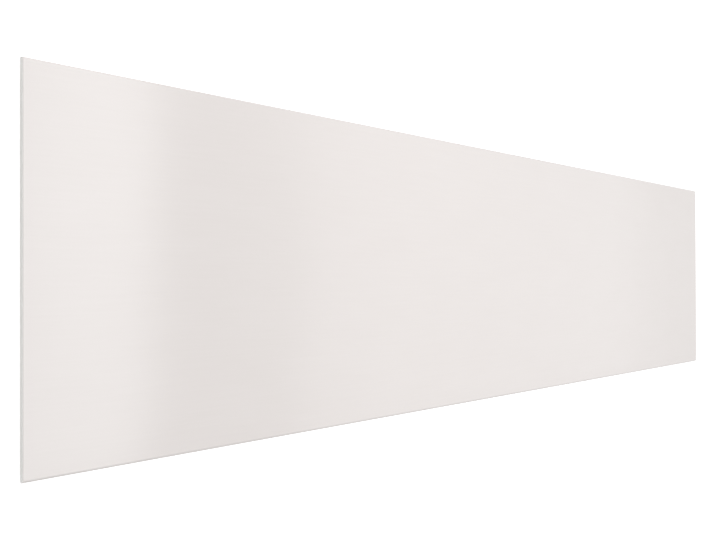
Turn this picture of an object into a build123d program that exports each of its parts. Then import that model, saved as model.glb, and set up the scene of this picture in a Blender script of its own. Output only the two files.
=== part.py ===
"""A full-length drywall sheet, lying on its back with the white face up.

The board is formed as one continuous slab between two papers and then sawn to length,
so it is a single solid: one cross-section, drawn across the width and carried along the length.
The two long edges are tapered on the face, so that tape and filler finish flush with the board,
and their face corners are eased, because the face paper is rolled over them. The ends are sawn square.
X runs along the length, Y across the width and Z out of the face. The origin is the centre of the back.
"""

import os

from build123d import *

# Sheet sizes in millimetres: 16 ft long, 4 ft wide and 5/8 in thick.
sheet_length = 4876.8
sheet_width = 1219.2
sheet_thickness = 15.875

# Long edges: a shallow taper on the face that starts with a soft bend.
taper_width = 63.5
taper_depth = 1.6
taper_bend_radius = 900.0

# Roundings of the long edges, where the face paper turns down and then under.
face_edge_radius = 6.0
back_edge_radius = 1.5

# The two roundings share the height that the taper leaves, so neither takes more than its share of it.
edge_height = sheet_thickness - taper_depth
face_round_limit_share = 0.6
back_round_limit_share = 0.2
face_round = min(face_edge_radius, face_round_limit_share * edge_height)
back_round = min(back_edge_radius, back_round_limit_share * edge_height)

half_width = sheet_width / 2
taper_start = half_width - taper_width

# The board: its tapered section in the YZ plane, extruded both ways from the middle of the length.
with BuildPart() as drywall_sheet:
    with BuildSketch(Plane.YZ) as section:
        with BuildLine():
            Polyline(
                (-half_width, 0),
                (half_width, 0),
                (half_width, edge_height),
                (taper_start, sheet_thickness),
                (-taper_start, sheet_thickness),
                (-half_width, edge_height),
                close=True,
            )
        make_face()
        back_corners = section.vertices().group_by(Axis.Y)[0]
        fillet(back_corners, radius=back_round)
        face_corners = section.vertices().group_by(Axis.Y)[-2]
        fillet(face_corners, radius=face_round)
        taper_bends = section.vertices().group_by(Axis.Y)[-1]
        fillet(taper_bends, radius=taper_bend_radius)
    extrude(amount=sheet_length / 2, both=True)

drywall_sheet.part.label = "drywall_sheet"

os.makedirs("parts", exist_ok=True)
export_step(drywall_sheet.part, "parts/drywall_sheet.step")
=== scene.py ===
"""The drywall sheet on a white studio floor, dressed and lit as in the photograph.

The file follows the board as it is made: the slab with its sawn ends, then its papers and its core,
and after those the floor, the lamps and the camera. Lengths are in metres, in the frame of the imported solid,
whose origin is the centre of the back: X runs along the sheet, Y across it and Z out of its face.
"""

from math import asin, atan, pi, radians, sin, sqrt, tan

import bmesh
import bpy
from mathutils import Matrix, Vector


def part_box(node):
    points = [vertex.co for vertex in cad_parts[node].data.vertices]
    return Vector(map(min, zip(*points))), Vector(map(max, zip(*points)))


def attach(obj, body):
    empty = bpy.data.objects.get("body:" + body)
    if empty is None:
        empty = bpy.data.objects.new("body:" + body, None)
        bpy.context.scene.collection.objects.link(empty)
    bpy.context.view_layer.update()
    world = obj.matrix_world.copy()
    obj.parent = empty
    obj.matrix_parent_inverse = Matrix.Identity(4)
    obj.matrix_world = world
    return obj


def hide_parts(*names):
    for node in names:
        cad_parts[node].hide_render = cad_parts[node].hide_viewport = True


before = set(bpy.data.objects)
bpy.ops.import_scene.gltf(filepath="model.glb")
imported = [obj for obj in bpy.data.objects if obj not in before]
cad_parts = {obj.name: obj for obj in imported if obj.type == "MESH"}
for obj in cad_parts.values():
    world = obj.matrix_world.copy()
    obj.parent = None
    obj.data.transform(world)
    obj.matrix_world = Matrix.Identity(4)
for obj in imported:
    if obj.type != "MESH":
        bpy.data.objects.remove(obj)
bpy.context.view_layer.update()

# Slab
# Foamed gypsum is cast between two papers on a moving belt. While it is wet its long edges are pressed
# thinner on the face, to leave room for tape and filler. It sets as one piece and is then sawn to length.
sheet_low, sheet_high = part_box("drywall_sheet")
half_length = sheet_high.x
half_width = sheet_high.y
face_level = sheet_high.z
back_level = sheet_low.z
back_paper_step = 0.0003
taper_width = 0.0635
taper_depth = 0.0016
taper_bend_radius = 0.9
face_edge_radius = 0.006
back_edge_radius = 0.0015
near_enough = 1e-5
square_on = 0.9

taper_start = half_width - taper_width
taper_slope = atan(taper_depth / taper_width)
face_edge_reach = face_edge_radius * tan((radians(90) - taper_slope) / 2)
slab_back = back_level + back_paper_step
slab_thickness = face_level - slab_back

bpy.ops.object.select_all(action="DESELECT")
bpy.ops.mesh.primitive_cube_add(
    size=1,
    location=(0, 0, slab_back + slab_thickness / 2),
    scale=(2 * half_length, 2 * half_width, slab_thickness),
)
slab = bpy.context.object
slab.name = "gypsum_board"
slab.data.name = "gypsum_board"
bpy.ops.object.transform_apply(location=True, rotation=True, scale=True)
bpy.ops.object.mode_set(mode="EDIT")


def near(value, wanted):
    """True where a coordinate is at a wanted place, or at its mirror image."""
    return abs(abs(value) - wanted) < near_enough


def pick_faces(wanted):
    """Selects the faces whose middle and normal pass a test, and no others."""
    bpy.ops.mesh.select_mode(type="FACE")
    bpy.ops.mesh.select_all(action="DESELECT")
    mesh = bmesh.from_edit_mesh(slab.data)
    for face in mesh.faces:
        face.select_set(wanted(face.calc_center_bounds(), face.normal))
    bmesh.update_edit_mesh(slab.data)


def pick_long_edges(from_middle, height):
    """Selects the edges along the sheet at one height, this far from its middle line on both sides."""
    bpy.ops.mesh.select_mode(type="EDGE")
    bpy.ops.mesh.select_all(action="DESELECT")
    mesh = bmesh.from_edit_mesh(slab.data)
    for edge in mesh.edges:
        first, second = (end.co for end in edge.verts)
        level = near((first - second).y, 0) and near((first - second).z, 0)
        edge.select_set(level and near(first.y, from_middle) and near(first.z, height))
    mesh.select_flush_mode()
    bmesh.update_edit_mesh(slab.data)


# The taper: the face is cut along lines, and each line is pressed down, on an arc through the bend.
bend_steps = 6
bend_start = taper_start - taper_bend_radius * tan(taper_slope / 2)
bend_width = taper_bend_radius * sin(taper_slope)
bend_lines = [bend_width * number / bend_steps for number in range(bend_steps + 1)]
for line in bend_lines:
    for side in (-1, 1):
        pick_faces(lambda middle, normal: normal.z > square_on)
        bpy.ops.mesh.bisect(plane_co=(0, side * (bend_start + line), 0), plane_no=(0, 1, 0))
for line in bend_lines:
    pick_long_edges(bend_start + line, face_level)
    bpy.ops.transform.translate(value=(0, 0, sqrt(taper_bend_radius**2 - line**2) - taper_bend_radius))
pick_long_edges(half_width, face_level)
bpy.ops.transform.translate(value=(0, 0, -taper_depth))

# The long edges: the papers are rolled round the corners.
face_edge_steps = 8
back_edge_steps = 4
round_profile = 0.5


def round_off(reach, steps):
    """Rounds the picked edges with an arc that starts this far from each of them."""
    bpy.ops.mesh.bevel(
        offset_type="OFFSET",
        offset=reach,
        segments=steps,
        profile=round_profile,
        affect="EDGES",
    )


pick_long_edges(half_width, face_level - taper_depth)
round_off(face_edge_reach, face_edge_steps)
pick_long_edges(half_width, slab_back)
round_off(back_edge_radius, back_edge_steps)

# The lap: the face paper is turned under by this much, and the back paper is laid over its cut edge.
lap_width = 0.022
lap_line = half_width - lap_width
for side in (-1, 1):
    pick_faces(lambda middle, normal: normal.z < -square_on)
    bpy.ops.mesh.bisect(plane_co=(0, side * lap_line, 0), plane_no=(0, 1, 0))
pick_faces(lambda middle, normal: normal.z < -square_on and abs(middle.y) < near_enough)
bpy.ops.mesh.extrude_region_move(TRANSFORM_OT_translate={"value": (0, 0, -back_paper_step)})

# The materials' slots. Every face wears the first, the face paper, until it is given to another.
for slot_name in ("face_paper", "gypsum", "back_paper"):
    slab.data.materials.append(bpy.data.materials.new(slot_name))
face_paper, gypsum, back_paper = slab.data.materials


def give(material):
    """Gives the picked faces to one of the slab's materials."""
    slab.active_material_index = slab.data.materials.find(material.name)
    bpy.ops.object.material_slot_assign()


# The sawn ends: a rim of paper round the core, which is divided finely enough to hold chips and pits.
paper_thickness = 0.0004
core_grain = 0.0015
core_recess = 0.00015
cut_tolerance = 0.0003
pick_faces(lambda middle, normal: abs(normal.x) > square_on)
bpy.ops.mesh.dissolve_faces()
bpy.ops.mesh.inset(thickness=paper_thickness, depth=0)
give(gypsum)


def pick_core():
    """Selects the core where the saw left it bare, at both ends."""
    bpy.ops.mesh.select_all(action="DESELECT")
    slab.active_material_index = slab.data.materials.find(gypsum.name)
    bpy.ops.object.material_slot_select()


def grid_lines(start, end):
    """Evenly spaced places from start to end, about a grain apart."""
    count = round((end - start) / core_grain)
    return [start + (end - start) * number / count for number in range(1, count)]


for height in grid_lines(back_level, face_level):
    pick_core()
    bpy.ops.mesh.bisect(plane_co=(0, 0, height), plane_no=(0, 0, 1), threshold=cut_tolerance)
core_reach = half_width - face_edge_radius
for across in grid_lines(-core_reach, core_reach):
    pick_core()
    bpy.ops.mesh.bisect(plane_co=(0, across, 0), plane_no=(0, 1, 0), threshold=cut_tolerance)

# The core is set back at each end, and a group keeps its points for the chips.
inward_ways = {"near_end": 1, "far_end": -1}
for end, inward in inward_ways.items():
    pick_core()
    mesh = bmesh.from_edit_mesh(slab.data)
    for face in mesh.faces:
        if face.select and face.calc_center_bounds().x * inward > 0:
            face.select_set(False)
    bmesh.update_edit_mesh(slab.data)
    bpy.ops.mesh.extrude_region_move(TRANSFORM_OT_translate={"value": (inward * core_recess, 0, 0)})
    bpy.ops.object.vertex_group_assign_new()
    slab.vertex_groups.active.name = end

back_paper_top = back_level + paper_thickness
back_paper_reach = lap_line + paper_thickness
pick_faces(lambda middle, normal: middle.z < back_paper_top and abs(middle.y) < back_paper_reach)
give(back_paper)
bpy.ops.object.mode_set(mode="OBJECT")

# The chips: the saw tears grains and bubbles out of the core, so its points go in by uneven amounts.
chip_depth = 0.0006
chip_width = 0.0035
chip_octaves = 2
chips = bpy.data.textures.new("saw_chips", type="CLOUDS")
chips.noise_scale = chip_width
chips.noise_depth = chip_octaves
for end, inward in inward_ways.items():
    chipping = slab.modifiers.new(end, "DISPLACE")
    chipping.texture = chips
    chipping.texture_coords = "LOCAL"
    chipping.direction = "X"
    chipping.vertex_group = end
    chipping.mid_level = 0
    chipping.strength = inward * chip_depth
    bpy.ops.object.modifier_apply(modifier=chipping.name)

crease = radians(35)
bpy.ops.object.shade_smooth_by_angle(angle=crease)
evening = slab.modifiers.new("even_flats", "WEIGHTED_NORMAL")
evening.keep_sharp = True
bpy.ops.object.modifier_apply(modifier=evening.name)

# The map that the export bakes through, which it knows by its name: each side is laid flat in a band of its
# own, and the thin edges and ends get more room than their size. The ends' corners get the most.
middle_level = (face_level + back_level) / 2
edge_way_round = face_edge_radius + slab_thickness + back_edge_radius
end_facing = 0.5
corner_share = 0.3
gap_share = 0.008
band_shares = {
    "face": 0.39,
    "back": 0.28,
    "lower_edge": 0.045,
    "upper_edge": 0.045,
    "near_end": 0.09,
    "far_end": 0.09,
}
band_starts = {}
filled_share = gap_share
for band, share in band_shares.items():
    band_starts[band] = filled_share
    filled_share += share + gap_share


def band_of(face):
    """The band of the side of the sheet that a face belongs to."""
    if abs(face.normal.x) > end_facing or slab.data.materials[face.material_index] == gypsum:
        return "near_end" if face.center.x < 0 else "far_end"
    if half_width - abs(face.center.y) < face_edge_radius:
        return "lower_edge" if face.center.y < 0 else "upper_edge"
    return "face" if face.center.z > middle_level else "back"


def laid_flat(band, point, above):
    """Where a point falls on its band, as shares of the band's length and of its width."""
    along_share = (point.x + half_length) / (2 * half_length)
    reach = max(-1, min(1, point.y / half_width))
    if band.endswith("end"):
        across_share = (1 + (1 - corner_share) * reach) / 2 + corner_share * asin(reach) / pi
        return across_share, (point.z - back_level) / (face_level - back_level)
    if band.endswith("edge"):
        inset = half_width - abs(point.y)
        way_round = face_edge_radius + face_level - point.z + (-inset if above else inset)
        return along_share, way_round / edge_way_round
    return along_share, (1 + reach) / 2


bake_map = slab.data.uv_layers.active
bake_map.name = "OFBake"
for face in slab.data.polygons:
    band = band_of(face)
    for corner in face.loop_indices:
        point = slab.data.vertices[slab.data.loops[corner].vertex_index].co
        length_share, width_share = laid_flat(band, point, face.center.z > middle_level)
        bake_map.data[corner].uv = (
            gap_share + (1 - 2 * gap_share) * length_share,
            band_starts[band] + band_shares[band] * width_share,
        )

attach(slab, "root")
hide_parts("drywall_sheet")

# Face paper
# A white, calendered and sealed paper with a satin sheen. Its fibres lie along the belt, so its faint
# streaks run along the sheet, and it follows the slightly wavy core. The lower long edge is painted grey,
# a painted shade of the rounded edge, and the saw has frayed the last millimetres at the ends.
paper_shade = (0.774, 0.727, 0.705)
paper_light = (0.815, 0.771, 0.753)
paper_clouds_per_metre = (3, 7, 7)
paper_cloud_shares = (0.38, 0.62)
paper_streaks_per_metre = (6, 160, 160)
paper_streak_shares = (-0.12, 0.12)
paper_fibres_per_metre = (350, 1100, 1100)
paper_fibre_octaves = 3.0
paper_fleck_shares = (-0.14, 0.14)
# Grey for the painted shade along the lower long edge, and for the frayed paper at the ends.
edge_shade_and_fray_grey = (0.5, 0.48, 0.46)
edge_shade_share = 0.36
edge_shade_start = 0.0095
edge_shade_end = 0.0045
fray_share = 0.5
fray_start = 0.0028
fray_end = 0.0012
waves_per_metre = (2.5, 4, 4)
wave_octaves = 1.0
wave_height = 0.0005
paper_fibre_height = 0.0001
paper_fibre_relief_share = 0.1
satin_roughness = (0.15, 0.21)
paper_ior = 1.55


def add(tree, kind, inputs=None, **settings):
    """Adds a node. An input that is another node's output is linked, and any other is set on its socket."""
    node = tree.nodes.new(kind)
    for name, value in settings.items():
        setattr(node, name, value)
    for name, value in (inputs or {}).items():
        if isinstance(value, bpy.types.NodeSocket):
            tree.links.new(value, node.inputs[name])
        else:
            node.inputs[name].default_value = value
    return node


def start_material(material):
    """Empties a material's nodes, and gives its tree with a shader that is joined to its output."""
    material.use_nodes = True
    tree = material.node_tree
    tree.nodes.clear()
    shader = add(tree, "ShaderNodeBsdfPrincipled")
    add(tree, "ShaderNodeOutputMaterial", {"Surface": shader.outputs["BSDF"]})
    return tree, shader


def own_place(tree):
    """The place of each point in the board's own coordinates."""
    return add(tree, "ShaderNodeTexCoord").outputs["Object"]


def pattern(tree, per_metre, octaves=2.0):
    """Noise with this many waves to the metre along, across and through the board."""
    stretched = add(tree, "ShaderNodeMapping", {"Vector": own_place(tree), "Scale": per_metre})
    inputs = {"Vector": stretched.outputs["Vector"], "Scale": 1.0, "Detail": octaves}
    return add(tree, "ShaderNodeTexNoise", inputs).outputs["Fac"]


def moved(tree, value, before, after):
    """Moves a value from one range to another, and holds it at the ends of the second."""
    inputs = {"Value": value}
    inputs["From Min"], inputs["From Max"] = before
    inputs["To Min"], inputs["To Max"] = after
    return add(tree, "ShaderNodeMapRange", inputs).outputs["Result"]


def spread(tree, value, after):
    """Spreads the middle half of a pattern, where nearly all of it lies, over a range."""
    middle_half_shares = (0.25, 0.75)
    return moved(tree, value, middle_half_shares, after)


def total(tree, *values):
    """The sum of several values."""
    whole = values[0]
    for value in values[1:]:
        whole = add(tree, "ShaderNodeMath", {0: whole, 1: value}, operation="ADD").outputs["Value"]
    return whole


def between(tree, value, low_colour, high_colour):
    """A colour between two, by a value from 0 to 1."""
    ramp = add(tree, "ShaderNodeValToRGB", {"Fac": value})
    ramp.color_ramp.elements[0].color = (*low_colour, 1)
    ramp.color_ramp.elements[1].color = (*high_colour, 1)
    return ramp.outputs["Color"]


def relief(tree, value, height, share=1.0, over=None):
    """The normals of a pattern raised by a share of a height, over another relief where one is given."""
    inputs = {"Height": value, "Distance": height, "Strength": share}
    if over is not None:
        inputs["Normal"] = over
    return add(tree, "ShaderNodeBump", inputs).outputs["Normal"]


tree, shader = start_material(face_paper)
clouds = spread(tree, pattern(tree, paper_clouds_per_metre), paper_cloud_shares)
streaks = spread(tree, pattern(tree, paper_streaks_per_metre), paper_streak_shares)
fibres = pattern(tree, paper_fibres_per_metre, paper_fibre_octaves)
flecks = spread(tree, fibres, paper_fleck_shares)
clean = between(tree, total(tree, clouds, streaks, flecks), paper_shade, paper_light)
axes = add(tree, "ShaderNodeSeparateXYZ", {"Vector": own_place(tree)}).outputs
endwards = add(tree, "ShaderNodeMath", {0: axes["X"]}, operation="ABSOLUTE").outputs["Value"]
downwards = add(tree, "ShaderNodeMath", {0: axes["Y"], 1: -1.0}, operation="MULTIPLY").outputs["Value"]
# Painted shade: the colour turns grey over the last millimetres of the lower long edge.
painted_edge_shade = moved(tree, downwards, (half_width - edge_shade_start, half_width - edge_shade_end), (0, edge_shade_share))
fray = moved(tree, endwards, (half_length - fray_start, half_length - fray_end), (0, fray_share))
# The painted shade of the lower edge and the real fray at the ends share one grey.
edge_shade_and_fray = add(tree, "ShaderNodeMath", {0: painted_edge_shade, 1: fray}, operation="MAXIMUM").outputs["Value"]
shades = {"Fac": edge_shade_and_fray, "Color1": clean, "Color2": (*edge_shade_and_fray_grey, 1)}
colour = add(tree, "ShaderNodeMixRGB", shades).outputs["Color"]
wavy = relief(tree, pattern(tree, waves_per_metre, wave_octaves), wave_height)
grained = relief(tree, fibres, paper_fibre_height, paper_fibre_relief_share, wavy)
tree.links.new(colour, shader.inputs["Base Color"])
tree.links.new(spread(tree, fibres, satin_roughness), shader.inputs["Roughness"])
tree.links.new(grained, shader.inputs["Normal"])
shader.inputs["IOR"].default_value = paper_ior

# Gypsum core
# Set plaster full of air bubbles. It is off-white and quite matt where the saw has opened it, and the paper
# that it set against holds it all round.
core_shade = (0.71, 0.7, 0.675)
core_light = (0.88, 0.875, 0.855)
crumbs_per_metre = (500, 500, 500)
crumb_octaves = 4.0
bubbles_per_metre = 700.0
mottle_and_pit_shade_shares = (-0.5, 0.8)
bubble_depth = 0.0006
bubble_relief_share = 0.6
core_roughness = 0.95
core_shine = 0.25
tree, shader = start_material(gypsum)
crumbs = pattern(tree, crumbs_per_metre, crumb_octaves)
cells = add(tree, "ShaderNodeTexVoronoi", {"Vector": own_place(tree), "Scale": bubbles_per_metre})
bubbles = cells.outputs["Distance"]
# A random mottle from the crumbs, with painted shade in the bubbles: the colour darkens towards each bubble's
# middle, where the relief sinks into a pit.
mottle_and_pit_shade = spread(tree, total(tree, crumbs, bubbles), mottle_and_pit_shade_shares)
colour = between(tree, mottle_and_pit_shade, core_shade, core_light)
pitted = relief(tree, bubbles, bubble_depth, bubble_relief_share)
tree.links.new(colour, shader.inputs["Base Color"])
tree.links.new(pitted, shader.inputs["Normal"])
shader.inputs["Roughness"].default_value = core_roughness
shader.inputs["Specular IOR Level"].default_value = core_shine

# Back paper
# An uncoated grey-brown paper made from waste paper, with darker and paler fibres in it and no sheen. It
# sticks to the core as that sets, and its edges lie over the turned-under edges of the face paper.
back_shade = (0.3, 0.262, 0.215)
back_light = (0.47, 0.425, 0.365)
back_clouds_per_metre = (4, 9, 9)
back_cloud_shares = (0.4, 0.6)
back_streaks_per_metre = (10, 220, 220)
back_streak_shares = (-0.12, 0.12)
back_fibres_per_metre = (260, 900, 900)
back_fibre_octaves = 4.0
back_fleck_shares = (-0.25, 0.25)
back_fibre_height = 0.0003
back_fibre_relief_share = 0.4
back_roughness = 0.88
back_shine = 0.2
tree, shader = start_material(back_paper)
clouds = spread(tree, pattern(tree, back_clouds_per_metre), back_cloud_shares)
streaks = spread(tree, pattern(tree, back_streaks_per_metre), back_streak_shares)
fibres = pattern(tree, back_fibres_per_metre, back_fibre_octaves)
flecks = spread(tree, fibres, back_fleck_shares)
colour = between(tree, total(tree, clouds, streaks, flecks), back_shade, back_light)
furry = relief(tree, fibres, back_fibre_height, back_fibre_relief_share)
tree.links.new(colour, shader.inputs["Base Color"])
tree.links.new(furry, shader.inputs["Normal"])
shader.inputs["Roughness"].default_value = back_roughness
shader.inputs["Specular IOR Level"].default_value = back_shine

# Floor and backdrop
# A plain white studio floor, with white all round it. The camera and reflections see it as paper-white, and
# it still takes the sheet's shadow.
floor_side = 40.0
floor_gap = 0.0002
floor_colour = (0.8, 0.8, 0.8, 1)
floor_lift = 0.52
backdrop_colour = (1, 1, 1, 1)
backdrop_shown = 1.0
backdrop_light = 0.605
bpy.ops.object.select_all(action="DESELECT")
bpy.ops.mesh.primitive_plane_add(size=floor_side, location=(0, 0, back_level - floor_gap))
floor = bpy.context.object
floor.name = "studio_floor"


def seen_directly(tree):
    """1 for rays that show the background: the camera's, and those that glossy or clear things send on."""
    path = add(tree, "ShaderNodeLightPath")
    return total(
        tree,
        path.outputs["Is Camera Ray"],
        path.outputs["Is Glossy Ray"],
        path.outputs["Is Transmission Ray"],
    )


def backdrop(tree, strength):
    """A plain background of one strength."""
    inputs = {"Color": backdrop_colour, "Strength": strength}
    return add(tree, "ShaderNodeBackground", inputs).outputs["Background"]


floor_paint = bpy.data.materials.new("white_floor")
floor_paint.use_nodes = True
tree = floor_paint.node_tree
tree.nodes.clear()
paint = add(tree, "ShaderNodeBsdfDiffuse", {"Color": floor_colour}).outputs["BSDF"]
glow = add(tree, "ShaderNodeEmission", {"Strength": floor_lift}).outputs["Emission"]
lifted = add(tree, "ShaderNodeAddShader", {0: paint, 1: glow}).outputs["Shader"]
shown = add(tree, "ShaderNodeMixShader", {0: seen_directly(tree), 1: paint, 2: lifted}).outputs["Shader"]
add(tree, "ShaderNodeOutputMaterial", {"Surface": shown})
floor.data.materials.append(floor_paint)

world = bpy.data.worlds.new("white_backdrop")
bpy.context.scene.world = world
world.use_nodes = True
tree = world.node_tree
tree.nodes.clear()
dim = backdrop(tree, backdrop_light)
white = backdrop(tree, backdrop_shown)
shown = add(tree, "ShaderNodeMixShader", {0: seen_directly(tree), 1: dim, 2: white}).outputs["Shader"]
add(tree, "ShaderNodeOutputWorld", {"Surface": shown})

# Lamps
# A bright panel hangs over the near half, and its mirror image is the bright zone at the near end of the
# face. A large dim scrim hangs over the far half. Two strips on the floor, lower than the face so that it
# can't mirror them, light the sawn core of the near end and the start of the upper long edge.
lamp_height = 3.0
strip_height = 0.013
strip_level = back_level + strip_height / 2
panel_place = (-0.729, 2.297, lamp_height)
panel_turns = (radians(-8.3), radians(24.0), radians(-0.8))
panel_size = (1.118, 9.394)
panel_beam = radians(148)
panel_power = 61.2
scrim_place = (5.045, 0.322, lamp_height)
scrim_turns = (0, radians(-7.35), 0)
scrim_size = (8.424, 4.363)
scrim_power = 80.9
end_strip_distance = 0.46
end_strip_place = (-half_length - end_strip_distance, 0, strip_level)
end_strip_turns = (0, radians(-90), 0)
end_strip_size = (strip_height, 2.4)
end_strip_power = 1.4
edge_strip_distance = 0.15
edge_strip_place = (-2.3, half_width + edge_strip_distance, strip_level)
edge_strip_turns = (radians(-90), 0, 0)
edge_strip_size = (0.6, strip_height)
edge_strip_power = 0.08


def softbox(name, place, turns, size, power, beam=pi):
    """A rectangular lamp that the camera doesn't see. Unturned, it shines straight down."""
    bpy.ops.object.light_add(type="AREA", location=place, rotation=turns)
    lamp = bpy.context.object
    lamp.name = name
    lamp.data.shape = "RECTANGLE"
    lamp.data.size, lamp.data.size_y = size
    lamp.data.energy = power
    lamp.data.spread = beam
    lamp.visible_camera = False


softbox("near_panel", panel_place, panel_turns, panel_size, panel_power, panel_beam)
softbox("far_scrim", scrim_place, scrim_turns, scrim_size, scrim_power)
softbox("end_strip", end_strip_place, end_strip_turns, end_strip_size, end_strip_power)
softbox("edge_strip", edge_strip_place, edge_strip_turns, edge_strip_size, edge_strip_power)

# Camera
# It looks down on the lying sheet from beyond its near end, with the sheet's upper long edge at the top of
# the picture. Its place, turns and small shift are fitted to the sheet's outline in the photograph.
picture_width_px = 716
focal_length_px = 811.7
frame_shift_px = 7.0
sensor_width_mm = 36.0
camera_place = (-3.4433, -0.0381, 2.3073)
camera_turns = (radians(0.512), radians(-46.116), radians(-0.216))
bpy.ops.object.camera_add(location=camera_place, rotation=camera_turns)
camera = bpy.context.object
camera.data.sensor_width = sensor_width_mm
camera.data.lens = sensor_width_mm * focal_length_px / picture_width_px
camera.data.shift_y = frame_shift_px / picture_width_px
bpy.context.scene.camera = camera
bpy.context.scene.view_settings.view_transform = "Standard"
